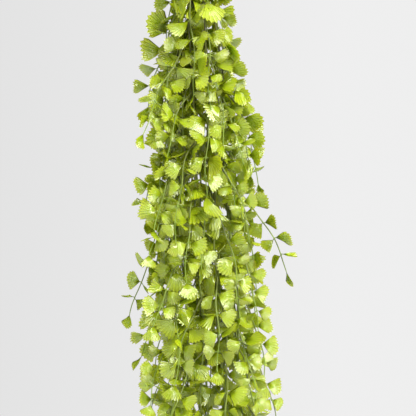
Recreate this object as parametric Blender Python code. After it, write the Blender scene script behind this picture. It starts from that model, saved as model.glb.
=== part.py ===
"""A wall-hung pot of trailing maidenhair fern, in metres, +Z up.

The origin is on the flat back of the pot, on its centre line and level with the front rim. The wall is the
plane y = 0 and the room is on the -Y side. The fern's long fronds leave the rootstock, pass over the front
rim in one bunch and hang straight down. Short crown fronds arch out over the pot.

Each frond is one solid: a wiry stem and its side sprays. A spray is a thin, drooping, toothed blade, and
each pair of teeth stands for one pair of fan-shaped leaflets.
"""

import math
import random

import bmesh
import bpy
from mathutils import Vector
from mathutils.bvhtree import BVHTree

# The gap that two touching solids keep.
GAP = 0.0003

# The pot: a half-round cup with a flat back that rises above the rim to a hanging hole.
POT_WIDTH = 0.122
POT_DEPTH = 0.098
POT_HEIGHT = 0.112
BASE_WIDTH = 0.088
BASE_DEPTH = 0.072
WALL = 0.006
FLOOR = 0.008
BAND_HEIGHT = 0.018
BAND_PROUD = 0.0035
EDGE_ROUND = 0.0018
TAB_HALF_WIDTH = 0.024
TAB_RISE = 0.036
HANG_HOLE_R = 0.0045
HANG_HOLE_BELOW_TOP = 0.014
DRAIN_HOLE_R = 0.006
ROUND_SEGMENTS = 22
TAB_SEGMENTS = 9
HOLE_SEGMENTS = 20

# What grows in it.
SOIL_BELOW_RIM = 0.014
SOIL_CROWN = 0.003
ROOTSTOCK_HALF = Vector((0.031, 0.017, 0.011))
ROOTSTOCK_RISE = 0.003
ROOTSTOCK_FRONT = 0.056

# The long fronds: slots in a round bunch, as (count, share of the bunch's radius, first angle).
BUNCH_RINGS = ((8, 1.0, 0.39), (4, 0.42, 0.78))
BUNCH_R = 0.0150
BUNCH_R_LOW = 0.0300
BUNCH_FLARE = 1.2
RIM_CLEARANCE = 0.0055
TRAIL_LENGTH = 0.600
TRAIL_UNEVEN = 0.085
STEM_R = 0.0011
STEM_TIP_R = 0.0007
STEM_STEP = 0.038
ARCH_STEP = 0.0075
SWAY = 0.0034
SWAY_LENGTH = 0.170
BUNCH_LEAN = 0.026

# The short fronds round the crown, as (side, front, rise): where each one ends, from the rootstock.
CROWN_FRONDS = (
    (-0.122, -0.014, 0.040),
    (-0.104, -0.062, 0.078),
    (-0.078, 0.010, 0.112),
    (-0.056, -0.070, 0.118),
    (-0.016, -0.040, 0.122),
    (0.046, -0.078, 0.128),
    (0.068, 0.006, 0.118),
    (0.104, -0.050, 0.084),
    (0.122, -0.008, 0.046),
)
CROWN_REACH = 0.120

# A spray: a drooping blade with a pair of teeth for each pair of leaflets, and one at its tip. Each pair is a
# little smaller, and a little nearer the next, than the one before.
LEAF_R = 0.0150
PAIR_SPACING = 0.0190
SPRAY_STALK = 0.0120
LEAF_SHRINK = 0.07
SPACING_SHRINK = 0.05
SPRAY_SPACING = 0.0465
FIRST_SPRAY = 0.078
FIRST_SPRAY_STAGGER = 0.011
LONG_SPRAYS_FROM = 0.36
SHORT_SPRAY_PAIRS = 3
LONG_SPRAY_PAIRS = 5
CROWN_SPRAY_SPACING = 0.0288
FIRST_CROWN_SPRAY = 0.040
BARE_TIP = 0.012

# How a spray leaves its stem, in radians, and how fast it bends down, in turns towards the vertical per metre.
LEAST_OPENING = 0.35
MOST_OPENING = 1.00
OPENS_FROM = 0.26
OPENS_OVER = 0.30
CROWN_OPENING = 1.00
TIP_OPENING = 0.20
LEAST_DROOP = 4
MOST_DROOP = 34
USUAL_DROOP = 22
SPRAY_STEP = 0.004
MIDRIB_HALF = 0.0008
KEEL_DEPTH = 0.0013
TOOTH_SHARE = 0.80
LEAST_CLEARANCE = 0.0005
SPRAY_TRIES = 70
WALL_CLEARANCE = 0.004
TRAILING_FACES = Vector((0.0, -1.0, 0.3))
CROWN_FACES = Vector((0.0, -0.5, 1.0))


# ---------------------------------------------------------------- materials and small helpers


def material(name, colour, roughness, metallic=0.0):
    """A Principled material with one colour."""
    made = bpy.data.materials.new(name)
    made.use_nodes = True
    shader = made.node_tree.nodes["Principled BSDF"]
    shader.inputs["Base Color"].default_value = (*colour, 1.0)
    shader.inputs["Roughness"].default_value = roughness
    shader.inputs["Metallic"].default_value = metallic
    return made


def object_from(name, verts, faces, made_of):
    """A named object from points and faces, its normals pointing outwards."""
    mesh = bpy.data.meshes.new(name)
    bm = bmesh.new()
    points = [bm.verts.new(v) for v in verts]
    for face in faces:
        bm.faces.new([points[i] for i in face])
    bmesh.ops.recalc_face_normals(bm, faces=bm.faces)
    bm.to_mesh(mesh)
    bm.free()
    mesh.materials.append(made_of)
    obj = bpy.data.objects.new(name, mesh)
    bpy.context.scene.collection.objects.link(obj)
    return obj


def helper(obj):
    """Marks obj as a cutter or guide, which is no part of the object."""
    obj.hide_render = True
    obj.display_type = "WIRE"
    return obj


def cylinder(name, radius, length, centre, axis):
    """A round cutter."""
    bm = bmesh.new()
    bmesh.ops.create_cone(
        bm, cap_ends=True, segments=HOLE_SEGMENTS, radius1=radius, radius2=radius, depth=length
    )
    mesh = bpy.data.meshes.new(name)
    bm.to_mesh(mesh)
    bm.free()
    obj = bpy.data.objects.new(name, mesh)
    obj.location = centre
    obj.rotation_mode = "QUATERNION"
    obj.rotation_quaternion = Vector(axis).to_track_quat("Z", "Y")
    bpy.context.scene.collection.objects.link(obj)
    return helper(obj)


def boolean(obj, other, operation):
    """Cuts other from obj, or joins it on."""
    modifier = obj.modifiers.new(operation.lower(), "BOOLEAN")
    modifier.operation = operation
    modifier.solver = "EXACT"
    modifier.use_self = operation == "UNION"
    modifier.object = other


def shade(obj, degrees):
    obj.data.shade_smooth()
    obj.data.set_sharp_from_angle(angle=math.radians(degrees))


# ---------------------------------------------------------------- pot, soil and rootstock


def half_round(width, depth, back, raised=False, inset=0.0):
    """One level of the pot's outline: a half round front, straight sides and a flat back at y = back.

    The back has a fixed row of points across the tab. raised gives those points the tab's height.
    """
    radius = width / 2
    middle = radius - depth
    points = []
    for k in range(ROUND_SEGMENTS + 1):
        angle = math.pi * k / ROUND_SEGMENTS
        points.append((radius * math.cos(angle), middle - radius * math.sin(angle), 0.0))
    points.append((-radius, back, 0.0))
    for k in range(TAB_SEGMENTS + 1):
        across = -math.cos(math.pi * k / TAB_SEGMENTS)
        rise = (TAB_RISE - inset) * math.sqrt(max(0.0, 1 - across * across)) if raised else 0.0
        points.append(((TAB_HALF_WIDTH - inset) * across, back, rise))
    points.append((radius, back, 0.0))
    return points


def lofted(name, levels, made_of):
    """A closed solid through outlines that have the same number of points, as (height, outline)."""
    count = len(levels[0][1])
    verts = [(x, y, z + rise) for z, outline in levels for x, y, rise in outline]
    faces = []
    for level in range(len(levels) - 1):
        for k in range(count):
            after = (k + 1) % count
            low, high = level * count, (level + 1) * count
            faces.append((low + k, low + after, high + after, high + k))
    faces.append(tuple(range(count)))
    faces.append(tuple(len(verts) - count + k for k in range(count)))
    return object_from(name, verts, faces, made_of)


def between(low, high, share):
    return low + (high - low) * share


def outer_size(z):
    """Width and depth of the pot's body at height z, outside."""
    share = (z + POT_HEIGHT) / POT_HEIGHT
    return between(BASE_WIDTH, POT_WIDTH, share), between(BASE_DEPTH, POT_DEPTH, share)


def inner_outline(z, gap=0.0, raised=False):
    """The pot's outline inside at height z, drawn in by gap."""
    width, depth = outer_size(z)
    return half_round(width - 2 * (WALL + gap), depth - WALL - gap, -WALL - gap, raised)


def make_pot(fired_clay):
    """The cup, its rim band and its raised back, with a hanging hole and a drain hole."""
    foot_width, foot_depth = outer_size(-POT_HEIGHT)
    neck = -BAND_HEIGHT - BAND_PROUD
    neck_width, neck_depth = outer_size(neck)
    band_width = POT_WIDTH + 2 * BAND_PROUD
    band_depth = POT_DEPTH + BAND_PROUD
    levels = [
        (-POT_HEIGHT, half_round(foot_width - 2 * EDGE_ROUND, foot_depth - EDGE_ROUND, 0.0)),
        (-POT_HEIGHT + EDGE_ROUND, half_round(foot_width, foot_depth, 0.0)),
        (neck, half_round(neck_width, neck_depth, 0.0)),
        (-BAND_HEIGHT, half_round(band_width, band_depth, 0.0)),
        (-EDGE_ROUND, half_round(band_width, band_depth, 0.0, raised=True)),
    ]
    for turn in (0.5, 1.0):
        drawn_in = EDGE_ROUND * (1 - math.cos(turn * math.pi / 2))
        height = EDGE_ROUND * (math.sin(turn * math.pi / 2) - 1)
        outline = half_round(
            band_width - 2 * drawn_in, band_depth - drawn_in, -drawn_in * 0.5, raised=True, inset=drawn_in
        )
        levels.append((height, outline))
    levels.append((0.0, inner_outline(0.0, -EDGE_ROUND * 0.4, raised=True)))
    levels.append((-EDGE_ROUND, inner_outline(-EDGE_ROUND, raised=True)))
    levels.append((-POT_HEIGHT + FLOOR, inner_outline(-POT_HEIGHT + FLOOR)))
    pot = lofted("wall_pot", levels, fired_clay)
    hang_height = TAB_RISE - HANG_HOLE_BELOW_TOP
    hang = cylinder("hang_hole_cutter", HANG_HOLE_R, WALL * 4, (0, -WALL / 2, hang_height), (0, 1, 0))
    drain_front = BASE_DEPTH * 0.5
    drain = cylinder("drain_hole_cutter", DRAIN_HOLE_R, FLOOR * 4, (0, -drain_front, -POT_HEIGHT), (0, 0, 1))
    boolean(pot, hang, "DIFFERENCE")
    boolean(pot, drain, "DIFFERENCE")
    shade(pot, 35)


def ellipsoid(name, grow, made_of):
    """The rootstock's knobbly body, or a copy of it larger by grow."""
    bm = bmesh.new()
    bmesh.ops.create_icosphere(bm, subdivisions=2, radius=1.0)
    for vert in bm.verts:
        x, y, z = vert.co
        knob = 1 + 0.07 * math.sin(5.3 * x + 1.0) * math.cos(6.1 * y) * (1 - abs(z))
        half = ROOTSTOCK_HALF * knob + Vector((grow, grow, grow))
        vert.co = Vector((x * half.x, y * half.y, z * half.z)) + rootstock_centre()
    mesh = bpy.data.meshes.new(name)
    bm.to_mesh(mesh)
    bm.free()
    mesh.materials.append(made_of)
    obj = bpy.data.objects.new(name, mesh)
    bpy.context.scene.collection.objects.link(obj)
    return obj


def rootstock_centre():
    return Vector((0, -ROOTSTOCK_FRONT, -SOIL_BELOW_RIM + ROOTSTOCK_RISE))


def make_soil_and_rootstock(compost, bark):
    """Compost that fills the pot, dished round the rootstock that lies half sunk in it."""
    bottom, top = -POT_HEIGHT + FLOOR + GAP, -SOIL_BELOW_RIM
    crown = [(x * 0.55, y * 0.55 - ROOTSTOCK_FRONT * 0.45, 0.0) for x, y, _ in inner_outline(top, GAP)]
    soil = lofted(
        "potting_soil",
        [(bottom, inner_outline(bottom, GAP)), (top, inner_outline(top, GAP)), (top + SOIL_CROWN, crown)],
        compost,
    )
    rootstock = ellipsoid("rootstock", 0.0, bark)
    seat = helper(ellipsoid("rootstock_seat_cutter", GAP * 2, bark))
    boolean(soil, seat, "DIFFERENCE")
    shade(soil, 40)
    shade(rootstock, 60)


# ---------------------------------------------------------------- how the fronds grow


def smooth_route(points, steps):
    """A smooth curve through points: Catmull-Rom, with steps[i] spans between points i and i + 1."""
    route = []
    ends = [points[0] * 2 - points[1], *points, points[-1] * 2 - points[-2]]
    for i, spans in enumerate(steps):
        before, start, end, after = ends[i : i + 4]
        for k in range(spans):
            t = k / spans
            along = (end - before) * t + (2 * before - 5 * start + 4 * end - after) * t * t
            bend = (3 * (start - end) + after - before) * t * t * t
            route.append(start + (along + bend) / 2)
    route.append(points[-1].copy())
    return route


def spans_of(points, step):
    return [max(1, round((b - a).length / step)) for a, b in zip(points, points[1:])]


def rootstock_point(side, front):
    """A point just above the rootstock's upper face; side and front are shares of its half sizes."""
    rise = math.sqrt(max(0.05, 1 - side * side - front * front))
    half = ROOTSTOCK_HALF
    return rootstock_centre() + Vector((side * half.x, -front * half.y, rise * half.z * 1.07 + 2 * GAP))


def bunch_slots():
    """Each long frond's place in the bunch, as (side, front) in -1 to 1."""
    for count, share, first in BUNCH_RINGS:
        for k in range(count):
            angle = first + 2 * math.pi * k / count
            yield share * math.sin(angle), share * math.cos(angle)


def bunch_middle(height):
    """The middle of the hanging bunch at a height below the rim. It leans to one side as it goes down."""
    share = max(0.0, -height) / TRAIL_LENGTH
    return Vector((BUNCH_LEAN * share**1.3, -POT_DEPTH - BAND_PROUD - RIM_CLEARANCE - BUNCH_R, height))


def trailing_route(number, side, front):
    """The centre line of one long frond, from the rootstock over the rim and down.

    The further out a frond hangs, the further back it starts, so that the arches nest without crossing.
    """
    rng = random.Random(f"frond {number}")
    over = RIM_CLEARANCE + BUNCH_R * (1 + front)
    rim = Vector((0, -POT_DEPTH - BAND_PROUD, 0))
    start = rootstock_point(side * 0.72, -front * 0.55)
    points = [start, start + Vector((0, -0.001, 0.008 + over * 0.25))]
    for turn, spread in ((118, 1.15), (62, 1.05), (10, 1.0)):
        angle = math.radians(turn)
        out = Vector((side * BUNCH_R * spread, -over * math.cos(angle), over * math.sin(angle)))
        points.append(rim + out)
    steps = spans_of(points, ARCH_STEP)
    length = TRAIL_LENGTH - TRAIL_UNEVEN * rng.random()
    phase, phase_front = rng.uniform(0, math.tau), rng.uniform(0, math.tau)
    count = math.ceil(length / STEM_STEP / 2)
    for k in range(1, count + 1):
        down = length * k / count
        share = down / TRAIL_LENGTH
        radius = between(BUNCH_R, BUNCH_R_LOW, share**BUNCH_FLARE)
        sway = SWAY * min(1.0, share * 3)
        off_x = side * radius + sway * math.sin(down / SWAY_LENGTH * math.tau + phase)
        off_y = -front * radius + sway * math.sin(down / SWAY_LENGTH * 5 + phase_front)
        points.append(bunch_middle(-down) + Vector((off_x, off_y, 0)))
    return smooth_route(points, steps + [2] * count)


def crown_route(side, front, rise):
    """The centre line of one short frond, which rises from the back of the crown and arches outwards."""
    turn = side / CROWN_REACH * math.radians(75)
    start = rootstock_point(0.86 * math.sin(turn), -0.86 * math.cos(turn))
    end = rootstock_centre() + Vector((side, front, rise))
    top = start.lerp(end, 0.55) + Vector((0, 0, 0.022 + 0.2 * abs(side)))
    early = start.lerp(end, 0.14) + Vector((0, 0, 0.020 + 0.1 * abs(side)))
    points = [start, early, top, end]
    return smooth_route(points, spans_of(points, STEM_STEP * 0.7))


def tube_rings(route, radius, sides):
    """Rings of points round a route, and the quads between them, for testing clearance."""
    verts, faces = [], []
    across = (route[1] - route[0]).orthogonal()
    for i, point in enumerate(route):
        along = (route[min(i + 1, len(route) - 1)] - route[max(i - 1, 0)]).normalized()
        across = (across - along * across.dot(along)).normalized()
        other = along.cross(across)
        for k in range(sides):
            angle = math.tau * k / sides
            verts.append(point + (across * math.cos(angle) + other * math.sin(angle)) * radius)
        if i:
            for k in range(sides):
                a, b = (i - 1) * sides + k, (i - 1) * sides + (k + 1) % sides
                faces.append((a, b, b + sides, a + sides))
    return verts, faces


def droop(start, heading, side, steepness, length):
    """Points, blade side vectors and upward vectors of a spray's midrib, which bends down as it runs."""
    down = Vector((0, 0, -1))
    point, direction, across = start.copy(), heading.normalized(), side
    frames = []
    for _ in range(round(length / SPRAY_STEP) + 1):
        across = (across - direction * across.dot(direction)).normalized()
        frames.append((point.copy(), across, across.cross(direction)))
        direction = (direction + (down - direction) * steepness * SPRAY_STEP).normalized()
        point = point + direction * SPRAY_STEP
    return frames


def frame_at(frames, distance):
    """The frame at a distance along a drooping midrib."""
    place = min(distance / SPRAY_STEP, len(frames) - 1.001)
    low, share = int(place), place % 1
    a, b = frames[low], frames[low + 1]
    return [u.lerp(v, share) for u, v in zip(a, b)]


def spray_rows(frames, pairs, leaf_r, rng):
    """The blade's outline as rows of (centre, across, normal, left reach, right reach)."""
    reaches = [(0.0, MIDRIB_HALF, MIDRIB_HALF)]
    distance = SPRAY_STALK
    for pair in range(pairs):
        size = leaf_r * TOOTH_SHARE * (1 - LEAF_SHRINK * pair)
        left, right = size * rng.uniform(0.9, 1.1), size * rng.uniform(0.9, 1.1)
        reaches.append((distance, MIDRIB_HALF, MIDRIB_HALF))
        reaches.append((distance + 0.16 * size, left, right))
        distance += PAIR_SPACING * (1 - SPACING_SHRINK * pair)
    size = leaf_r * TOOTH_SHARE * 0.9
    reaches.append((distance, MIDRIB_HALF, MIDRIB_HALF))
    reaches.append((distance + size, size * 0.6, size * 0.6))
    return [(*frame_at(frames, at), left, right) for at, left, right in reaches]


def spray_length(pairs):
    """How long a spray's midrib is, tip leaflet included."""
    return SPRAY_STALK + sum(PAIR_SPACING * (1 - SPACING_SHRINK * k) for k in range(pairs)) + LEAF_R


def blade(rows, grow=0.0):
    """The blade as a closed strip, flat above and keeled below along its midrib, all grown by grow."""
    verts, faces = [], []
    for centre, across, normal, left, right in rows:
        verts.append(centre - across * (left + grow) + normal * grow)
        verts.append(centre + across * (right + grow) + normal * grow)
        verts.append(centre - normal * (KEEL_DEPTH + grow))
    for i in range(len(rows) - 1):
        for k in range(3):
            a, b = i * 3 + k, i * 3 + (k + 1) % 3
            faces += [(a, b, b + 3), (a, b + 3, a + 3)]
    last = len(verts) - 3
    faces += [(2, 1, 0), (last, last + 1, last + 2)]
    return verts, faces


def in_the_way(point):
    """True where the pot or the wall is, with a clearance round them."""
    if point.y > -WALL_CLEARANCE:
        return True
    beside = abs(point.x) < POT_WIDTH / 2 + BAND_PROUD + RIM_CLEARANCE / 2
    before = point.y > -POT_DEPTH - BAND_PROUD - RIM_CLEARANCE / 2
    level = -POT_HEIGHT - RIM_CLEARANCE < point.z < RIM_CLEARANCE / 2
    behind_tab = abs(point.x) < TAB_HALF_WIDTH + WALL_CLEARANCE and point.y > -2 * WALL
    return (beside and before and level) or (behind_tab and point.z < TAB_RISE + WALL_CLEARANCE)


class Thicket:
    """What has grown so far, so that the next spray can be kept clear of it."""

    def __init__(self):
        self.grown = []

    def add(self, verts, faces, owner):
        low = Vector([min(v[k] for v in verts) for k in range(3)])
        high = Vector([max(v[k] for v in verts) for k in range(3)])
        self.grown.append((low, high, BVHTree.FromPolygons(verts, faces), owner))

    def is_clear(self, verts, faces, owner):
        """True if the blade meets nothing, apart from the stem that it grows from."""
        low = Vector([min(v[k] for v in verts) for k in range(3)])
        high = Vector([max(v[k] for v in verts) for k in range(3)])
        tree = None
        for other_low, other_high, other, other_owner in self.grown:
            if other_owner == owner:
                continue
            if any(low[k] > other_high[k] or high[k] < other_low[k] for k in range(3)):
                continue
            tree = tree or BVHTree.FromPolygons(verts, faces)
            if tree.overlap(other):
                return False
        return True


def outward_at(point, middle):
    """Level direction from the middle of the bunch, or of the crown, to point."""
    flat = Vector((point.x - middle.x, point.y - middle.y, 0))
    return flat.normalized() if flat.length > 1e-6 else Vector((0, -1, 0))


def try_spray(thicket, stem_name, start, along, middle, facing, opening, most_pairs, rng):
    """One spray from a point on a stem, turned about until it is clear of all the others, or None.

    Its blade turns its upper face towards facing, the way that the light comes from.
    """
    outward = outward_at(start, middle)
    for attempt in range(SPRAY_TRIES):
        turn = rng.gauss(0, 0.75 + 0.02 * attempt)
        away = Vector(
            (
                outward.x * math.cos(turn) - outward.y * math.sin(turn),
                outward.x * math.sin(turn) + outward.y * math.cos(turn),
                0,
            )
        )
        lean = opening * rng.uniform(0.65, 1.15)
        heading = away * math.sin(lean) + along * math.cos(lean)
        twist = rng.gauss(0, 0.45 + 0.01 * attempt)
        level = facing.cross(heading).normalized()
        side = level * math.cos(twist) + heading.cross(level).normalized() * math.sin(twist)
        pairs = max(2, most_pairs - attempt // 22 - rng.randrange(2))
        steepness = rng.triangular(LEAST_DROOP, MOST_DROOP, USUAL_DROOP)
        frames = droop(start, heading, side, steepness, spray_length(pairs) + SPRAY_STEP)
        rows = spray_rows(frames, pairs, LEAF_R * rng.uniform(0.86, 1.1), rng)
        if any(in_the_way(c + a * r) for c, a, _, left, right in rows for r in (-left, 0, right)):
            continue
        verts, faces = blade(rows, LEAST_CLEARANCE / 2)
        if thicket.is_clear(verts, faces, (stem_name, "stem")):
            thicket.add(verts, faces, (stem_name, "spray"))
            return rows
    return None


def points_along(route, first, spacing):
    """Places along a route, from the distance first on, as (point, direction, share of the length)."""
    total = sum((b - a).length for a, b in zip(route, route[1:]))
    found, travelled, target = [], 0.0, first
    for a, b in zip(route, route[1:]):
        span = (b - a).length
        while target <= travelled + span and target < total - BARE_TIP:
            found.append((a.lerp(b, (target - travelled) / span), (b - a).normalized(), target / total))
            target += spacing
        travelled += span
    return found


def spray_opening(share, trails):
    """The angle between a spray and its stem: narrow where the bunch starts to hang, wide further down."""
    if not trails:
        return CROWN_OPENING
    return between(LEAST_OPENING, MOST_OPENING, min(1.0, max(0.0, (share - OPENS_FROM) / OPENS_OVER)))


def plan_fronds():
    """Every frond as (name, route, sprays). Stems come first, so that sprays grow clear of them all."""
    thicket = Thicket()
    fronds = []
    for number, (side, front) in enumerate(bunch_slots()):
        fronds.append((f"trailing_frond_{number + 1:02d}", trailing_route(number, side, front), True))
    for number, ends_at in enumerate(CROWN_FRONDS):
        fronds.append((f"crown_frond_{number + 1:02d}", crown_route(*ends_at), False))
    for name, route, _ in fronds:
        thicket.add(*tube_rings(route, STEM_R + LEAST_CLEARANCE, 6), (name, "stem"))
    planned = []
    for index, (name, route, trails) in enumerate(fronds):
        rng = random.Random(f"sprays {name}")
        facing = TRAILING_FACES if trails else CROWN_FACES
        sprays = []
        spacing = SPRAY_SPACING if trails else CROWN_SPRAY_SPACING
        first = FIRST_SPRAY + FIRST_SPRAY_STAGGER * (index % 4) if trails else FIRST_CROWN_SPRAY
        for point, along, share in points_along(route, first, spacing):
            middle = bunch_middle(point.z) if trails and point.z < 0 else rootstock_centre()
            pairs = LONG_SPRAY_PAIRS if trails and share > LONG_SPRAYS_FROM else SHORT_SPRAY_PAIRS
            opening = spray_opening(share, trails)
            rows = try_spray(thicket, name, point, along, middle, facing, opening, pairs, rng)
            if rows:
                sprays.append(rows)
        tip, along = route[-1], (route[-1] - route[-2]).normalized()
        start, middle = tip - along * STEM_R, route[0]
        rows = try_spray(
            thicket, name, start, along, middle, facing, TIP_OPENING, SHORT_SPRAY_PAIRS, rng
        )
        if rows:
            sprays.append(rows)
        planned.append((name, route, sprays))
    return planned


def stem_object(name, route, made_of):
    """A tapering wiry stem as a mesh helper, from a curve with a round bevel and filled caps."""
    curve = bpy.data.curves.new(name, "CURVE")
    curve.dimensions = "3D"
    curve.bevel_depth = 1.0
    curve.bevel_resolution = 0
    curve.use_fill_caps = True
    spline = curve.splines.new("POLY")
    spline.points.add(len(route) - 1)
    for k, (place, point) in enumerate(zip(spline.points, route)):
        place.co = (*point, 1)
        place.radius = between(STEM_R, STEM_TIP_R, k / (len(route) - 1))
    guide = bpy.data.objects.new(name + "_curve", curve)
    bpy.context.scene.collection.objects.link(guide)
    bpy.context.view_layer.update()
    mesh = bpy.data.meshes.new_from_object(guide.evaluated_get(bpy.context.evaluated_depsgraph_get()))
    bpy.data.objects.remove(guide)
    bm = bmesh.new()
    bm.from_mesh(mesh)
    bmesh.ops.remove_doubles(bm, verts=bm.verts, dist=1e-6)
    bmesh.ops.recalc_face_normals(bm, faces=bm.faces)
    bm.to_mesh(mesh)
    bm.free()
    mesh.materials.clear()
    mesh.materials.append(made_of)
    obj = bpy.data.objects.new(name, mesh)
    bpy.context.scene.collection.objects.link(obj)
    return obj


def make_fronds(stalk, leaf):
    """One solid for each frond: its stem, joined with its sprays."""
    for name, route, sprays in plan_fronds():
        stem = stem_object(name, route, stalk)
        verts, faces = [], []
        for rows in sprays:
            more_verts, more_faces = blade(rows)
            faces += [tuple(i + len(verts) for i in face) for face in more_faces]
            verts += more_verts
        blades = helper(object_from(name + "_blades", verts, faces, leaf))
        boolean(stem, blades, "UNION")
        shade(stem, 50)


# ---------------------------------------------------------------- the whole object


def main():
    for obj in list(bpy.data.objects):
        bpy.data.objects.remove(obj)
    fired_clay = material("fired_clay", (0.80, 0.78, 0.74), 0.55)
    compost = material("compost", (0.060, 0.042, 0.030), 0.95)
    bark = material("bark", (0.110, 0.070, 0.045), 0.85)
    stalk = material("stalk", (0.16, 0.14, 0.08), 0.5)
    leaf = material("leaf", (0.33, 0.46, 0.06), 0.4)
    make_pot(fired_clay)
    make_soil_and_rootstock(compost, bark)
    make_fronds(stalk, leaf)


main()
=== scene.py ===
"""A wall-hung pot of trailing maidenhair fern: the look of its clay, compost, rootstock, stalks and leaflets.

The frame is in metres, +Z up. The pot's flat back is at y = 0 and the room is on the -Y side.
"""

import math
import random

import bmesh
import bpy
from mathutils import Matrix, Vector, noise
from mathutils.bvhtree import BVHTree


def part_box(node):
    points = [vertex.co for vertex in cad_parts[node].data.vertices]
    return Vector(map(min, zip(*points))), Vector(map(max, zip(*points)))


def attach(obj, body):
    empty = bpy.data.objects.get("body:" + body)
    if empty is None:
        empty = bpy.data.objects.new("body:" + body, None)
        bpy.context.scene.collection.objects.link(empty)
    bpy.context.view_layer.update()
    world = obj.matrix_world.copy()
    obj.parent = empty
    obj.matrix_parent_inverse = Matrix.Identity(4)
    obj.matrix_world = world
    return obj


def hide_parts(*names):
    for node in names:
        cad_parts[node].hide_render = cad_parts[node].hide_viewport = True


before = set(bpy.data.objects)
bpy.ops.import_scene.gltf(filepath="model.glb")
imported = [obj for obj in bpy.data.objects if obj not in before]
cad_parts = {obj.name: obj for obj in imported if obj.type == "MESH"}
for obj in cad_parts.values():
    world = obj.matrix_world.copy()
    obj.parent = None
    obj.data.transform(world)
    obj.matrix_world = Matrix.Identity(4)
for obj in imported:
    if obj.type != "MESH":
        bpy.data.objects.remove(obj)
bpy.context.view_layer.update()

# ---------------------------------------------------------------- the room
# A pale studio: weak light all round, a broad soft key from above and to the right, and a plain round floor
# well below the plant. The camera looks level at the hanging bunch, below the pot.

VIEW_MIDDLE = Vector((0.0135, -0.122, -0.320))
VIEW_HEIGHT = 0.374
VIEW_DISTANCE = 1.45
FLOOR_BELOW = 1.30
FLOOR_RADIUS = 4.0
FLOOR_SHADE = 0.68
SHED_LIGHT = 0.80
SHINE_LIGHT = 0.04
SURROUND_LEFT = 0.765
SURROUND_RIGHT = 0.86
LAMPS = (
    ("key", (2.2, -2.7, 2.0), 2.4, 310, (1.0, 0.99, 0.97)),
    ("fill", (-2.6, -2.4, 0.6), 2.4, 38, (0.97, 0.985, 1.0)),
    ("top", (-0.3, 0.4, 3.4), 2.0, 110, (1.0, 1.0, 1.0)),
)


def node(tree, kind, inputs=None, **settings):
    """A new node, its settings, and its inputs by name or number: each a value, or an output to join to."""
    made = tree.nodes.new(kind)
    for name, value in settings.items():
        setattr(made, name, value)
    for name, value in (inputs or {}).items():
        if isinstance(value, bpy.types.NodeSocket):
            tree.links.new(value, made.inputs[name])
        else:
            made.inputs[name].default_value = value
    return made


def linked(obj):
    """obj, put in the scene."""
    bpy.context.scene.collection.objects.link(obj)
    return obj


def soft_light(name, place, size, watts, colour):
    """A round area light that points at the bunch."""
    light = bpy.data.lights.new(name, "AREA")
    light.shape = "DISK"
    light.size = size
    light.energy = watts
    light.color = colour
    lamp = linked(bpy.data.objects.new(name, light))
    lamp.location = place
    lamp.rotation_mode = "QUATERNION"
    lamp.rotation_quaternion = (VIEW_MIDDLE - Vector(place)).to_track_quat("-Z", "Y")


def studio_world():
    """A near-white surround, a little darker to the left. It looks brighter than the light that it sheds."""
    world = bpy.data.worlds.new("studio")
    world.use_nodes = True
    tree = world.node_tree
    place = node(tree, "ShaderNodeTexCoord")
    split = node(tree, "ShaderNodeSeparateXYZ", {0: place.outputs["Generated"]})
    fall = node(
        tree,
        "ShaderNodeMapRange",
        {
            "Value": split.outputs["X"],
            "From Min": -0.14,
            "From Max": 0.08,
            "To Min": SURROUND_LEFT,
            "To Max": SURROUND_RIGHT,
        },
    )
    ray = node(tree, "ShaderNodeLightPath").outputs
    shed = node(
        tree,
        "ShaderNodeMapRange",
        {"Value": ray["Is Glossy Ray"], "To Min": SHED_LIGHT, "To Max": SHINE_LIGHT},
    )
    strength = node(
        tree, "ShaderNodeMapRange", {"Value": ray["Is Camera Ray"], "To Min": shed.outputs[0], "To Max": 1.0}
    )
    tree.links.new(fall.outputs[0], tree.nodes["Background"].inputs["Color"])
    tree.links.new(strength.outputs[0], tree.nodes["Background"].inputs["Strength"])
    bpy.context.scene.world = world
    bpy.context.scene.view_settings.view_transform = "Standard"


def studio_floor():
    """A plain pale disc."""
    bm = bmesh.new()
    bmesh.ops.create_circle(bm, cap_ends=True, segments=96, radius=FLOOR_RADIUS)
    mesh = bpy.data.meshes.new("studio_floor")
    bm.to_mesh(mesh)
    bm.free()
    paint = bpy.data.materials.new("pale_floor")
    paint.use_nodes = True
    shader = paint.node_tree.nodes["Principled BSDF"]
    shader.inputs["Base Color"].default_value = (FLOOR_SHADE, FLOOR_SHADE, FLOOR_SHADE, 1)
    shader.inputs["Roughness"].default_value = 0.9
    mesh.materials.append(paint)
    floor = linked(bpy.data.objects.new("studio_floor", mesh))
    floor.location = (0, VIEW_MIDDLE.y, -FLOOR_BELOW)


studio_world()
studio_floor()
for lamp_values in LAMPS:
    soft_light(*lamp_values)

eye = bpy.data.cameras.new("eye")
eye.sensor_width = 36.0
eye.lens = eye.sensor_width * VIEW_DISTANCE / VIEW_HEIGHT
camera = linked(bpy.data.objects.new("eye", eye))
camera.location = VIEW_MIDDLE - Vector((0, VIEW_DISTANCE, 0))
camera.rotation_euler = (math.radians(90), 0, 0)
bpy.context.scene.camera = camera

# ---------------------------------------------------------------- the pot
# A half-round cup with a flat back, cast in pale clay and left unglazed. Its back rises to a tab with a hole
# for the hook, its rim is thickened to a band, and a drain hole goes through its floor.

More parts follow.
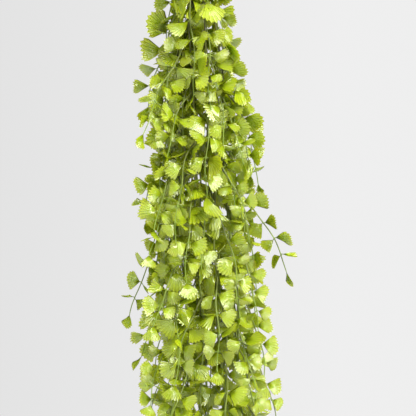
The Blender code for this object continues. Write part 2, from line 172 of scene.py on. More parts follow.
POT_FOOT = 0.088, 0.072
POT_RIM = 0.122, 0.098
POT_WALL = 0.006
POT_FLOOR = 0.008
BAND_HEIGHT = 0.018
BAND_PROUD = 0.0035
EDGE_ROUND = 0.0018
TAB_HALF_WIDTH = 0.024
HOOK_HOLE_R = 0.0045
HOOK_HOLE_BELOW_TOP = 0.014
DRAIN_HOLE_R = 0.006
ROUND_POINTS = 72
CORNER_POINTS = 5
CORNER_R = 0.003
TAB_POINTS = 33
pot_low, pot_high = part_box("wall_pot")
POT_HEIGHT = -pot_low.z
TAB_RISE = pot_high.z


def between(low, high, share):
    return low + (high - low) * share


def colour(red, green, blue):
    """A linear colour from one in 0 to 255."""
    return (*(((v / 255 + 0.055) / 1.055) ** 2.4 if v > 10 else v / 3295 for v in (red, green, blue)), 1.0)


def mottle_group():
    """Clouds of two colours with a fine grain: what clay, compost, bark and stalks have in common."""
    group = bpy.data.node_groups.new("mottle", "ShaderNodeTree")
    face = group.interface
    for name in ("Dark", "Light"):
        face.new_socket(name, in_out="INPUT", socket_type="NodeSocketColor")
    for name in ("Cloud Scale", "Grain Scale", "Contrast"):
        face.new_socket(name, in_out="INPUT", socket_type="NodeSocketFloat")
    face.new_socket("Color", in_out="OUTPUT", socket_type="NodeSocketColor")
    face.new_socket("Cloud", in_out="OUTPUT", socket_type="NodeSocketFloat")
    face.new_socket("Grain", in_out="OUTPUT", socket_type="NodeSocketFloat")
    given = node(group, "NodeGroupInput")
    place = node(group, "ShaderNodeTexCoord").outputs["Object"]
    cloud = node(
        group,
        "ShaderNodeTexNoise",
        {"Vector": place, "Scale": given.outputs["Cloud Scale"], "Detail": 5.0},
    )
    grain = node(
        group,
        "ShaderNodeTexNoise",
        {"Vector": place, "Scale": given.outputs["Grain Scale"], "Detail": 2.0},
    )
    both = node(
        group, "ShaderNodeMath", {0: grain.outputs[0], 1: 0.35, 2: cloud.outputs[0]}, operation="MULTIPLY_ADD"
    )
    centred = node(group, "ShaderNodeMath", {0: both.outputs[0], 1: 0.675}, operation="SUBTRACT")
    spread = node(
        group,
        "ShaderNodeMath",
        {0: centred.outputs[0], 1: given.outputs["Contrast"], 2: 0.5},
        operation="MULTIPLY_ADD",
        use_clamp=True,
    )
    blend = node(
        group,
        "ShaderNodeMix",
        {0: spread.outputs[0], 6: given.outputs["Dark"], 7: given.outputs["Light"]},
        data_type="RGBA",
    )
    put = {"Color": blend.outputs[2], "Cloud": cloud.outputs[0], "Grain": grain.outputs[0]}
    node(group, "NodeGroupOutput", put)
    return group


def material(name):
    """A new material, its node tree and its Principled shader."""
    made = bpy.data.materials.new(name)
    made.use_nodes = True
    return made, made.node_tree, made.node_tree.nodes["Principled BSDF"]


def mottled(tree, dark, light, cloud_scale, grain_scale, contrast):
    """The mottle group, placed in a material with its own values."""
    return node(
        tree,
        "ShaderNodeGroup",
        {
            "Dark": dark,
            "Light": light,
            "Cloud Scale": cloud_scale,
            "Grain Scale": grain_scale,
            "Contrast": contrast,
        },
        node_tree=mottle,
    )


def blended(tree, factor, first, second):
    """A colour between two others."""
    return node(tree, "ShaderNodeMix", {0: factor, 6: first, 7: second}, data_type="RGBA").outputs[2]


def maths(tree, operation, *values, clamp=False):
    """The output of one sum on values or outputs."""
    return node(
        tree, "ShaderNodeMath", dict(enumerate(values)), operation=operation, use_clamp=clamp
    ).outputs[0]


def times(tree, product, *factors):
    """The output of a product of values or outputs."""
    for factor in factors:
        product = maths(tree, "MULTIPLY", product, factor)
    return product


def bumped(tree, shader, height, distance, strength=1.0):
    """Gives shader a bump of that height."""
    bump = node(tree, "ShaderNodeBump", {"Height": height, "Distance": distance, "Strength": strength})
    tree.links.new(bump.outputs[0], shader.inputs["Normal"])


def fired_clay():
    """Pale unglazed clay: fine grain, a chalky bloom, damp at the foot, and edges rubbed lighter."""
    made, tree, shader = material("fired_clay")
    clay = mottled(tree, colour(166, 150, 130), colour(198, 186, 168), 26.0, 900.0, 2.2)
    height = node(tree, "ShaderNodeSeparateXYZ", {0: node(tree, "ShaderNodeTexCoord").outputs["Object"]})
    damp = node(
        tree,
        "ShaderNodeMapRange",
        {
            "Value": maths(tree, "MULTIPLY_ADD", clay.outputs["Cloud"], -0.05, height.outputs["Z"]),
            "From Min": -POT_HEIGHT - 0.02,
            "From Max": -POT_HEIGHT + 0.03,
            "To Min": 0.55,
            "To Max": 0.0,
        },
    )
    wet = blended(tree, damp.outputs[0], clay.outputs["Color"], colour(134, 116, 94))
    speckle = node(tree, "ShaderNodeTexNoise", {"Scale": 75.0, "Detail": 6.0, "Roughness": 0.7})
    chalk = maths(tree, "MULTIPLY_ADD", speckle.outputs[0], 4.0, -2.1, clamp=True)
    bloomed = blended(tree, maths(tree, "MULTIPLY", chalk, 0.5), wet, colour(218, 212, 200))
    edge = node(tree, "ShaderNodeAttribute", attribute_name="edge")
    rubbed = maths(tree, "MULTIPLY", edge.outputs["Fac"], clay.outputs["Cloud"])
    worn = blended(tree, rubbed, bloomed, colour(224, 216, 204))
    tree.links.new(worn, shader.inputs["Base Color"])
    tree.links.new(maths(tree, "MULTIPLY_ADD", chalk, 0.12, 0.66), shader.inputs["Roughness"])
    grain = maths(tree, "MULTIPLY_ADD", speckle.outputs[0], 0.6, clay.outputs["Grain"])
    bumped(tree, shader, grain, 0.0004)
    return made


def pot_outline(width, depth, back, raised=False, inset=0.0):
    """One level of the pot: half-round front, straight sides, rounded corners and a flat back at y = back."""
    radius = width / 2
    points = []
    for k in range(ROUND_POINTS + 1):
        angle = math.pi * k / ROUND_POINTS
        points.append((radius * math.cos(angle), radius - depth - radius * math.sin(angle), 0.0))
    corner = [math.radians(90 * k / (CORNER_POINTS - 1)) for k in range(CORNER_POINTS)]
    for turn in corner:
        x = -radius + CORNER_R * (1 - math.cos(turn))
        points.append((x, back - CORNER_R * (1 - math.sin(turn)), 0.0))
    for k in range(TAB_POINTS + 1):
        across = -math.cos(math.pi * k / TAB_POINTS)
        rise = (TAB_RISE - inset) * math.sqrt(max(0.0, 1 - across * across)) if raised else 0.0
        points.append(((TAB_HALF_WIDTH - inset) * across, back, rise))
    for turn in reversed(corner):
        x = radius - CORNER_R * (1 - math.cos(turn))
        points.append((x, back - CORNER_R * (1 - math.sin(turn)), 0.0))
    return points


def pot_size(z):
    """Width and depth of the cup at height z, outside."""
    share = (z + POT_HEIGHT) / POT_HEIGHT
    return between(POT_FOOT[0], POT_RIM[0], share), between(POT_FOOT[1], POT_RIM[1], share)


def inside_outline(z, gap=0.0, raised=False):
    """The cup's outline inside at height z, drawn in by gap."""
    width, depth = pot_size(z)
    return pot_outline(width - 2 * (POT_WALL + gap), depth - POT_WALL - gap, -POT_WALL - gap, raised)


def pot_levels():
    """The pot's outlines from its foot up the outside, over the rim and down inside: (z, outline, edge)."""
    foot_width, foot_depth = POT_FOOT
    band_width, band_depth = POT_RIM[0] + 2 * BAND_PROUD, POT_RIM[1] + BAND_PROUD
    quarters = [k / 4 * math.pi / 2 for k in range(5)]
    levels = []
    for turn in quarters:
        drawn_in = EDGE_ROUND * (1 - math.sin(turn))
        outline = pot_outline(foot_width - 2 * drawn_in, foot_depth - drawn_in, 0.0)
        levels.append((-POT_HEIGHT + EDGE_ROUND * (1 - math.cos(turn)), outline, 0.8))
    neck = -BAND_HEIGHT - BAND_PROUD
    rows = 14
    for k in range(1, rows + 1):
        z = between(-POT_HEIGHT + EDGE_ROUND, neck, k / rows)
        width, depth = pot_size(z)
        ridge = 0.00012 * math.sin(k * 2.4)
        levels.append((z, pot_outline(width + 2 * ridge, depth + ridge, 0.0), 0.0))
    for turn in quarters[1:]:
        out = BAND_PROUD * math.sin(turn)
        outline = pot_outline(POT_RIM[0] + 2 * out, POT_RIM[1] + out, 0.0)
        levels.append((-BAND_HEIGHT - EDGE_ROUND * 0.6 * math.cos(turn), outline, 0.6))
    levels.append((-EDGE_ROUND, pot_outline(band_width, band_depth, 0.0, raised=True), 0.3))
    for turn in quarters[1:]:
        drawn_in = EDGE_ROUND * (1 - math.cos(turn))
        outline = pot_outline(
            band_width - 2 * drawn_in, band_depth - drawn_in, -drawn_in * 0.5, raised=True, inset=drawn_in
        )
        levels.append((EDGE_ROUND * (math.sin(turn) - 1), outline, 1.0))
    levels.append((0.0, inside_outline(0.0, -EDGE_ROUND * 0.4, raised=True), 0.8))
    levels.append((-EDGE_ROUND, inside_outline(-EDGE_ROUND, raised=True), 0.3))
    levels.append((-POT_HEIGHT + POT_FLOOR, inside_outline(-POT_HEIGHT + POT_FLOOR), 0.0))
    return levels


def lofted(name, levels):
    """A closed mesh object through outlines with the same number of points, given as (z, outline, edge)."""
    count = len(levels[0][1])
    bm = bmesh.new()
    edge = bm.verts.layers.float.new("edge")
    rings = []
    for z, outline, worn in levels:
        ring = [bm.verts.new((x, y, z + rise)) for x, y, rise in outline]
        for vert in ring:
            vert[edge] = worn
        rings.append(ring)
    for low, high in zip(rings, rings[1:]):
        for k in range(count):
            after = (k + 1) % count
            bm.faces.new((low[k], low[after], high[after], high[k]))
    bm.faces.new(rings[0])
    bm.faces.new(rings[-1])
    bmesh.ops.remove_doubles(bm, verts=bm.verts, dist=1e-6)
    bmesh.ops.recalc_face_normals(bm, faces=bm.faces)
    mesh = bpy.data.meshes.new(name)
    bm.to_mesh(mesh)
    bm.free()
    return linked(bpy.data.objects.new(name, mesh))


def hole_cutter(radius, length, centre, axis):
    """A round bar that a hole is cut with."""
    bm = bmesh.new()
    bmesh.ops.create_cone(bm, cap_ends=True, segments=40, radius1=radius, radius2=radius, depth=length)
    bmesh.ops.transform(bm, matrix=Vector(axis).to_track_quat("Z", "Y").to_matrix(), verts=bm.verts)
    bmesh.ops.translate(bm, vec=centre, verts=bm.verts)
    mesh = bpy.data.meshes.new("cutter")
    bm.to_mesh(mesh)
    bm.free()
    return linked(bpy.data.objects.new("cutter", mesh))


def made_plain(obj):
    """Turns what obj's modifiers make of it into its own plain mesh."""
    graph = bpy.context.evaluated_depsgraph_get()
    graph.update()
    mesh = bpy.data.meshes.new_from_object(obj.evaluated_get(graph))
    obj.modifiers.clear()
    obj.data = mesh


def finished(obj, made_of, slot, *nodes):
    """A piece of the plant: its material and body, and the solids of the frame that it stands for. slot is
    not used.
    """
    if made_of:
        obj.data.materials.clear()
        obj.data.materials.append(made_of)
    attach(obj, "root")
    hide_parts(*nodes)


def make_pot():
    pot = lofted("clay_pot", pot_levels())
    hook = hole_cutter(
        HOOK_HOLE_R, POT_WALL * 4, (0, -POT_WALL / 2, TAB_RISE - HOOK_HOLE_BELOW_TOP), (0, 1, 0)
    )
    drain = hole_cutter(DRAIN_HOLE_R, POT_FLOOR * 4, (0, -POT_FOOT[1] / 2, -POT_HEIGHT), (0, 0, 1))
    for cutter in (hook, drain):
        cut = pot.modifiers.new("hole", "BOOLEAN")
        cut.operation = "DIFFERENCE"
        cut.solver = "EXACT"
        cut.object = cutter
    made_plain(pot)
    for cutter in (hook, drain):
        bpy.data.objects.remove(cutter)
    pot.data.shade_smooth()
    pot.data.set_sharp_from_angle(angle=math.radians(38))
    finished(pot, fired_clay(), "fired_clay", "wall_pot")


mottle = mottle_group()
make_pot()

# ---------------------------------------------------------------- the compost
# Dark, crumbly compost fills the pot to a finger below its rim, a little mounded round the rootstock. Crumbs
# of bark and peat lie on it, with a few white grains of perlite.

SOIL_GAP = 0.0003
SOIL_CROWN = 0.0030
SOIL_ROUGHNESS = 0.0011
CRUMBS_PER_M2 = 110000.0
CRUMB_R = 0.0011
soil_low, soil_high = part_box("potting_soil")
SOIL_TOP = soil_high.z - SOIL_CROWN


def compost():
    """Peat and bark, nearly black where it is damp; a crumb's shade goes from peat to perlite."""
    made, tree, shader = material("compost")
    peat = mottled(tree, colour(38, 27, 20), colour(92, 68, 50), 160.0, 1500.0, 3.0)
    shade = node(tree, "ShaderNodeAttribute", attribute_name="shade")
    bark = maths(tree, "MULTIPLY", shade.outputs["Fac"], 0.7)
    mixed = blended(tree, bark, peat.outputs["Color"], colour(122, 84, 56))
    perlite = maths(tree, "GREATER_THAN", shade.outputs["Fac"], 0.955)
    tree.links.new(blended(tree, perlite, mixed, colour(226, 222, 212)), shader.inputs["Base Color"])
    shader.inputs["Roughness"].default_value = 0.95
    bumped(tree, shader, maths(tree, "ADD", peat.outputs["Cloud"], peat.outputs["Grain"]), 0.0006)
    return made


def new_tree(name, sockets):
    """A Geometry Nodes tree that takes and gives a geometry, with named inputs: (tree, the inputs' node)."""
    tree = bpy.data.node_groups.new(name, "GeometryNodeTree")
    tree.interface.new_socket("Geometry", in_out="INPUT", socket_type="NodeSocketGeometry")
    for title, kind in sockets.items():
        tree.interface.new_socket(title, in_out="INPUT", socket_type="NodeSocket" + kind)
    tree.interface.new_socket("Geometry", in_out="OUTPUT", socket_type="NodeSocketGeometry")
    return tree, node(tree, "NodeGroupInput")


def stored(tree, geometry, name, kind, domain, value):
    """geometry with a named attribute stored on it."""
    made = node(
        tree,
        "GeometryNodeStoreNamedAttribute",
        {"Geometry": geometry, "Name": name, "Value": value},
        data_type=kind,
        domain=domain,
    )
    return made.outputs[0]


def random_vector(tree, low, high, seed):
    """The output of a random vector between two others, fixed by its seed."""
    inputs = {0: low, 1: high, "Seed": seed}
    return node(tree, "FunctionNodeRandomValue", inputs, data_type="FLOAT_VECTOR").outputs[0]


def closed_off(tree, geometry, finish):
    """Ends a tree as plain geometry with one material."""
    whole = node(tree, "GeometryNodeRealizeInstances", {0: geometry}).outputs[0]
    dressed = node(tree, "GeometryNodeSetMaterial", {"Geometry": whole, "Material": finish}).outputs[0]
    node(tree, "NodeGroupOutput", {0: dressed})


def grown(obj, tree, **values):
    """Runs a Geometry Nodes tree on obj with these inputs, and leaves the result as obj's plain mesh."""
    modifier = obj.modifiers.new(tree.name, "NODES")
    modifier.node_group = tree
    sockets = {item.name: item.identifier for item in tree.interface.items_tree if item.in_out == "INPUT"}
    for name, value in values.items():
        modifier[sockets[name.replace("_", " ")]] = value
    made_plain(obj)


def shaded_points(tree, given, **chosen):
    """Points scattered over a surface: (the scattering node, the points with a random "shade" on each)."""
    inputs = {"Mesh": "Geometry", "Density": "Density", "Seed": "Seed"}
    inputs = {name: given.outputs[source] for name, source in inputs.items()}
    points = node(tree, "GeometryNodeDistributePointsOnFaces", {**inputs, **chosen})
    shade = node(tree, "FunctionNodeRandomValue", {"Seed": 3}, data_type="FLOAT").outputs[1]
    return points, stored(tree, points.outputs["Points"], "shade", "FLOAT", "POINT", shade)


def crumb_tree():
    """Scatters irregular little lumps over the upward faces: "shade" is random from lump to lump."""
    tree, given = new_tree(
        "scattered_crumbs", {"Density": "Float", "Crumb Size": "Float", "Seed": "Int", "Finish": "Material"}
    )
    normal = node(tree, "GeometryNodeInputNormal").outputs[0]
    upward = node(tree, "ShaderNodeSeparateXYZ", {0: normal}).outputs["Z"]
    _, shaded = shaded_points(tree, given, Selection=maths(tree, "GREATER_THAN", upward, 0.6))
    lump = node(tree, "GeometryNodeMeshIcoSphere", {"Radius": given.outputs["Crumb Size"], "Subdivisions": 1})
    size = random_vector(tree, (0.3, 0.3, 0.2), (1.5, 1.1, 0.9), 5)
    turn = random_vector(tree, (0, 0, 0), (6.3, 6.3, 6.3), 7)
    lumps = node(
        tree,
        "GeometryNodeInstanceOnPoints",
        {"Points": shaded, "Instance": lump.outputs[0], "Rotation": turn, "Scale": size},
    )
    closed_off(tree, lumps.outputs[0], given.outputs["Finish"])
    return tree


def make_compost():
    """The mounded surface, with its sides and bottom hidden in the pot, and the crumbs on it."""
    steps = (0.0, 0.02, 0.12, 0.26, 0.42, 0.58, 0.74, 0.88)
    middle = Vector((0, (soil_low.y + soil_high.y) / 2))
    levels = [(soil_low.z, inside_outline(soil_low.z, SOIL_GAP), 0.0)]
    rim = inside_outline(SOIL_TOP, SOIL_GAP)
    for share in steps:
        ring = []
        for x, y, _ in rim:
            flat = Vector((x, y)).lerp(middle, share)
            rough = noise.noise((flat.x * 90, flat.y * 90, 0.3))
            rough += 0.5 * noise.noise((flat.x * 260, flat.y * 260, 2))
            ring.append((flat.x, flat.y, SOIL_ROUGHNESS * rough * min(1.0, share * 20)))
        levels.append((SOIL_TOP - 0.0008 + SOIL_CROWN * math.sin(share * math.pi / 2), ring, 0.0))
    bed = lofted("compost_bed", levels)
    bed.data.shade_smooth()
    crumbs = linked(bpy.data.objects.new("compost_crumbs", bed.data.copy()))
    peat = compost()
    grown(crumbs, crumb_tree(), Density=CRUMBS_PER_M2, Crumb_Size=CRUMB_R, Seed=11, Finish=peat)
    finished(bed, peat, "compost", "potting_soil")
    finished(crumbs, None, "compost", "potting_soil")


make_compost()

# ---------------------------------------------------------------- the rootstock
# The creeping stem that every frond grows from: a knobbly brown lump, half sunk in the compost and covered
# with narrow papery scales.

root_low, root_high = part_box("rootstock")
ROOT_MIDDLE = (root_low + root_high) / 2
SCALES_PER_M2 = 260000.0
SCALE_LENGTH = 0.0042


def rootstock_bark():
    """Dark brown bark; a scale's shade goes from dark to tawny."""
    made, tree, shader = material("rootstock_bark")
    bark = mottled(tree, colour(52, 34, 24), colour(104, 72, 48), 220.0, 1300.0, 2.6)
    shade = node(tree, "ShaderNodeAttribute", attribute_name="shade")
    tawny = maths(tree, "MULTIPLY", shade.outputs["Fac"], 0.75)
    mixed = blended(tree, tawny, bark.outputs["Color"], colour(150, 108, 66))
    tree.links.new(mixed, shader.inputs["Base Color"])
    shader.inputs["Roughness"].default_value = 0.7
    bumped(tree, shader, maths(tree, "ADD", bark.outputs["Cloud"], bark.outputs["Grain"]), 0.0005)
    return made


def scale_tree():
    """Covers a surface with narrow pointed scales that stand half away from it."""
    tree, given = new_tree(
        "papery_scales", {"Density": "Float", "Scale Length": "Float", "Seed": "Int", "Finish": "Material"}
    )
    points, shaded = shaded_points(tree, given)
    scale = node(
        tree,
        "GeometryNodeMeshCone",
        {
            "Vertices": 5,
            "Radius Top": 0.0,
            "Radius Bottom": maths(tree, "MULTIPLY", given.outputs["Scale Length"], 0.16),
            "Depth": given.outputs["Scale Length"],
        },
    )
    lean = random_vector(tree, (-0.7, -0.7, 0), (0.7, 0.7, 6.3), 5)
    size = random_vector(tree, (0.5, 0.25, 0.5), (1.2, 0.5, 1.3), 7)
    leaning = node(
        tree,
        "FunctionNodeRotateRotation",
        {0: points.outputs["Rotation"], 1: lean},
        rotation_space="LOCAL",
    )
    scales = node(
        tree,
        "GeometryNodeInstanceOnPoints",
        {
            "Points": shaded,
            "Instance": scale.outputs[0],
            "Rotation": leaning.outputs[0],
            "Scale": size,
        },
    )
    closed_off(tree, scales.outputs[0], given.outputs["Finish"])
    return tree


def make_rootstock():
    bm = bmesh.new()
    bmesh.ops.create_icosphere(bm, subdivisions=4, radius=1.0)
    half = (root_high - root_low) / 2 * 0.96
    for vert in bm.verts:
        knob = 1 + 0.10 * noise.noise(vert.co * 2.6) + 0.05 * noise.noise(vert.co * 7)
        vert.co = ROOT_MIDDLE + Vector([v * h * knob for v, h in zip(vert.co, half)])
    mesh = bpy.data.meshes.new("rootstock_body")
    bm.to_mesh(mesh)
    bm.free()
    mesh.shade_smooth()
    body = linked(bpy.data.objects.new("rootstock_body", mesh))
    scales = linked(bpy.data.objects.new("rootstock_scales", mesh.copy()))
    bark = rootstock_bark()
    grown(scales, scale_tree(), Density=SCALES_PER_M2, Scale_Length=SCALE_LENGTH, Seed=4, Finish=bark)
    finished(body, bark, "rootstock", "rootstock")
    finished(scales, None, "rootstock", "rootstock")


make_rootstock()

# ---------------------------------------------------------------- how the fronds grow
# Twelve long fronds leave the rootstock, pass over the front rim in one bunch and hang. Nine short ones arch
# up and out of the crown. Sprays of leaflets leave each stalk, droop, and keep clear of what has grown.

POT_WIDTH, POT_DEPTH = POT_RIM
ROOTSTOCK_HALF = Vector((0.031, 0.017, 0.011))
ROOTSTOCK_MIDDLE = Vector((0, -0.056, -0.011))
BUNCH_RINGS = ((8, 1.0, 0.39), (4, 0.42, 0.78))
BUNCH_R = 0.0150
BUNCH_R_LOW = 0.0300
BUNCH_FLARE = 1.2
RIM_CLEARANCE = 0.0055
TRAIL_LENGTH = 0.600
TRAIL_UNEVEN = 0.085
STEM_R = 0.0011
STEM_TIP_R = 0.0007
STEM_STEP = 0.038
ARCH_STEP = 0.0075
SWAY = 0.0034
SWAY_LENGTH = 0.170
BUNCH_LEAN = 0.026
CROWN_FRONDS = (
    (-0.122, -0.014, 0.040),
    (-0.104, -0.062, 0.078),
    (-0.078, 0.010, 0.112),
    (-0.056, -0.070, 0.118),
    (-0.016, -0.040, 0.122),
    (0.046, -0.078, 0.128),
    (0.068, 0.006, 0.118),
    (0.104, -0.050, 0.084),
    (0.122, -0.008, 0.046),
)
CROWN_REACH = 0.120
LEAF_R = 0.0150
PAIR_SPACING = 0.0190
SPRAY_STALK = 0.0120
LEAF_SHRINK = 0.07
SPACING_SHRINK = 0.05
SPRAY_SPACING = 0.0465
FIRST_SPRAY = 0.078
FIRST_SPRAY_STAGGER = 0.011
LONG_SPRAYS_FROM = 0.36
SHORT_SPRAY_PAIRS = 3
LONG_SPRAY_PAIRS = 5
CROWN_SPRAY_SPACING = 0.0288
FIRST_CROWN_SPRAY = 0.040
BARE_TIP = 0.012
LEAST_OPENING = 0.35
MOST_OPENING = 1.00
OPENS_FROM = 0.26
OPENS_OVER = 0.30
CROWN_OPENING = 1.00
TIP_OPENING = 0.20
LEAST_DROOP = 4
MOST_DROOP = 34
USUAL_DROOP = 22
SPRAY_STEP = 0.004
MIDRIB_HALF = 0.0008
KEEL_DEPTH = 0.0013
TOOTH_SHARE = 0.80
LEAST_CLEARANCE = 0.0005
SPRAY_TRIES = 70
WALL_CLEARANCE = 0.004
TRAILING_FACES = Vector((0.0, -1.0, 0.3))
CROWN_FACES = Vector((0.0, -0.5, 1.0))


def smooth_route(points, steps):
    """A smooth curve through points: Catmull-Rom, with steps[i] spans between points i and i + 1."""
    route = []
    ends = [points[0] * 2 - points[1], *points, points[-1] * 2 - points[-2]]
    for i, spans in enumerate(steps):
        before, start, end, after = ends[i : i + 4]
        for k in range(spans):
            t = k / spans
            along = (end - before) * t + (2 * before - 5 * start + 4 * end - after) * t * t
            bend = (3 * (start - end) + after - before) * t * t * t
            route.append(start + (along + bend) / 2)
    route.append(points[-1].copy())
    return route


def spans_of(points, step):
    return [max(1, round((b - a).length / step)) for a, b in zip(points, points[1:])]


def rootstock_point(side, front):
    """A point just above the rootstock's upper face; side and front are shares of its half sizes."""
    rise = math.sqrt(max(0.05, 1 - side * side - front * front))
    half = ROOTSTOCK_HALF
    return ROOTSTOCK_MIDDLE + Vector((side * half.x, -front * half.y, rise * half.z * 1.07 + 2 * SOIL_GAP))


def bunch_slots():
    """Each long frond's place in the bunch, as (side, front) in -1 to 1."""
    for count, share, first in BUNCH_RINGS:
        for k in range(count):
            angle = first + 2 * math.pi * k / count
            yield share * math.sin(angle), share * math.cos(angle)


def bunch_middle(height):
    """The middle of the hanging bunch at a height below the rim. It leans to one side as it goes down."""
    share = max(0.0, -height) / TRAIL_LENGTH
    return Vector((BUNCH_LEAN * share**1.3, -POT_DEPTH - BAND_PROUD - RIM_CLEARANCE - BUNCH_R, height))


def trailing_route(number, side, front):
    """The centre line of one long frond, from the rootstock over the rim and down.

    The further out a frond hangs, the further back it starts, so that the arches nest without crossing.
    """
    rng = random.Random(f"frond {number}")
    over = RIM_CLEARANCE + BUNCH_R * (1 + front)
    rim = Vector((0, -POT_DEPTH - BAND_PROUD, 0))
    start = rootstock_point(side * 0.72, -front * 0.55)
    points = [start, start + Vector((0, -0.001, 0.008 + over * 0.25))]
    for turn, spread in ((118, 1.15), (62, 1.05), (10, 1.0)):
        angle = math.radians(turn)
        out = Vector((side * BUNCH_R * spread, -over * math.cos(angle), over * math.sin(angle)))
        points.append(rim + out)
    steps = spans_of(points, ARCH_STEP)
    length = TRAIL_LENGTH - TRAIL_UNEVEN * rng.random()
    phase, phase_front = rng.uniform(0, math.tau), rng.uniform(0, math.tau)
    count = math.ceil(length / STEM_STEP / 2)
    for k in range(1, count + 1):
        down = length * k / count
        share = down / TRAIL_LENGTH
        radius = between(BUNCH_R, BUNCH_R_LOW, share**BUNCH_FLARE)
        sway = SWAY * min(1.0, share * 3)
        off_x = side * radius + sway * math.sin(down / SWAY_LENGTH * math.tau + phase)
        off_y = -front * radius + sway * math.sin(down / SWAY_LENGTH * 5 + phase_front)
        points.append(bunch_middle(-down) + Vector((off_x, off_y, 0)))
    return smooth_route(points, steps + [2] * count)


def crown_route(side, front, rise):
    """The centre line of one short frond, which rises from the back of the crown and arches outwards."""
    turn = side / CROWN_REACH * math.radians(75)
    start = rootstock_point(0.86 * math.sin(turn), -0.86 * math.cos(turn))
    end = ROOTSTOCK_MIDDLE + Vector((side, front, rise))
    top = start.lerp(end, 0.55) + Vector((0, 0, 0.022 + 0.2 * abs(side)))
    early = start.lerp(end, 0.14) + Vector((0, 0, 0.020 + 0.1 * abs(side)))
    points = [start, early, top, end]
    return smooth_route(points, spans_of(points, STEM_STEP * 0.7))


def tube_rings(route, radius, sides):
    """Rings of points round a route, and the quads between them, for testing clearance."""
    verts, faces = [], []
    across = (route[1] - route[0]).orthogonal()
    for i, point in enumerate(route):
        along = (route[min(i + 1, len(route) - 1)] - route[max(i - 1, 0)]).normalized()
        across = (across - along * across.dot(along)).normalized()
        other = along.cross(across)
        for k in range(sides):
            angle = math.tau * k / sides
            verts.append(point + (across * math.cos(angle) + other * math.sin(angle)) * radius)
        if i:
            for k in range(sides):
                a, b = (i - 1) * sides + k, (i - 1) * sides + (k + 1) % sides
                faces.append((a, b, b + sides, a + sides))
    return verts, faces


def droop(start, heading, side, steepness, length):
    """Points, side vectors and upward vectors along a spray's midrib, which bends down as it runs."""
    down = Vector((0, 0, -1))
    point, direction, across = start.copy(), heading.normalized(), side
    frames = []
    for _ in range(round(length / SPRAY_STEP) + 1):
        across = (across - direction * across.dot(direction)).normalized()
        frames.append((point.copy(), across, across.cross(direction)))
        direction = (direction + (down - direction) * steepness * SPRAY_STEP).normalized()
        point = point + direction * SPRAY_STEP
    return frames


def frame_at(frames, distance):
    """The frame at a distance along a drooping midrib."""
    place = min(distance / SPRAY_STEP, len(frames) - 1.001)
    low, share = int(place), place % 1
    a, b = frames[low], frames[low + 1]
    return [u.lerp(v, share) for u, v in zip(a, b)]


def spray_teeth(pairs, leaf_r, rng):
    """Where the pairs of leaflets are on a midrib, and how far they reach: (distance, left, right)."""
    teeth = []
    distance = SPRAY_STALK
    for pair in range(pairs):
        size = leaf_r * TOOTH_SHARE * (1 - LEAF_SHRINK * pair)
        teeth.append((distance, size * rng.uniform(0.9, 1.1), size * rng.uniform(0.9, 1.1)))
        distance += PAIR_SPACING * (1 - SPACING_SHRINK * pair)
    return teeth, distance


def spray_rows(frames, leaf_r, teeth, end):
    """The outline that a spray keeps clear, as rows of (centre, across, up, left reach, right reach)."""
    reaches = [(0.0, MIDRIB_HALF, MIDRIB_HALF)]
    for pair, (distance, left, right) in enumerate(teeth):
        size = leaf_r * TOOTH_SHARE * (1 - LEAF_SHRINK * pair)
        reaches.append((distance, MIDRIB_HALF, MIDRIB_HALF))
        reaches.append((distance + 0.16 * size, left, right))
    size = leaf_r * TOOTH_SHARE * 0.9
    reaches.append((end, MIDRIB_HALF, MIDRIB_HALF))
    reaches.append((end + size, size * 0.6, size * 0.6))
    return [(*frame_at(frames, at), left, right) for at, left, right in reaches]


def spray_length(pairs):
    """How long a spray's midrib is, tip leaflet included."""
    return SPRAY_STALK + sum(PAIR_SPACING * (1 - SPACING_SHRINK * k) for k in range(pairs)) + LEAF_R


def blade(rows, grow):
    """The room that a spray takes, as a closed strip, all grown by grow."""
    verts, faces = [], []
    for centre, across, up, left, right in rows:
        verts.append(centre - across * (left + grow) + up * grow)
        verts.append(centre + across * (right + grow) + up * grow)
        verts.append(centre - up * (KEEL_DEPTH + grow))
    for i in range(len(rows) - 1):
        for k in range(3):
            a, b = i * 3 + k, i * 3 + (k + 1) % 3
            faces += [(a, b, b + 3), (a, b + 3, a + 3)]
    last = len(verts) - 3
    faces += [(2, 1, 0), (last, last + 1, last + 2)]
    return verts, faces


def in_the_way(point):
    """True where the pot or the wall is, with a clearance round them."""
    if point.y > -WALL_CLEARANCE:
        return True
    beside = abs(point.x) < POT_WIDTH / 2 + BAND_PROUD + RIM_CLEARANCE / 2
    before = point.y > -POT_DEPTH - BAND_PROUD - RIM_CLEARANCE / 2
    level = -POT_HEIGHT - RIM_CLEARANCE < point.z < RIM_CLEARANCE / 2
    behind_tab = abs(point.x) < TAB_HALF_WIDTH + WALL_CLEARANCE and point.y > -2 * POT_WALL
    return (beside and before and level) or (behind_tab and point.z < TAB_RISE + WALL_CLEARANCE)


def box_of(verts):
    """The lowest and highest corners of verts."""
    return Vector([min(v) for v in zip(*verts)]), Vector([max(v) for v in zip(*verts)])


class Thicket:
    """What has grown so far, so that the next spray can be kept clear of it."""

    def __init__(self):
        self.grown = []

    def add(self, verts, faces, owner):
        self.grown.append((*box_of(verts), BVHTree.FromPolygons(verts, faces), owner))

    def is_clear(self, verts, faces, owner):
        """True if the blade meets nothing, apart from the stem that it grows from."""
        low, high = box_of(verts)
        tree = None
        for other_low, other_high, other, other_owner in self.grown:
            if other_owner == owner:
                continue
            if any(low[k] > other_high[k] or high[k] < other_low[k] for k in range(3)):
                continue
            tree = tree or BVHTree.FromPolygons(verts, faces)
            if tree.overlap(other):
                return False
        return True


def outward_at(point, middle):
    """Level direction from the middle of the bunch, or of the crown, to point."""
    flat = Vector((point.x - middle.x, point.y - middle.y, 0))
    return flat.normalized() if flat.length > 1e-6 else Vector((0, -1, 0))


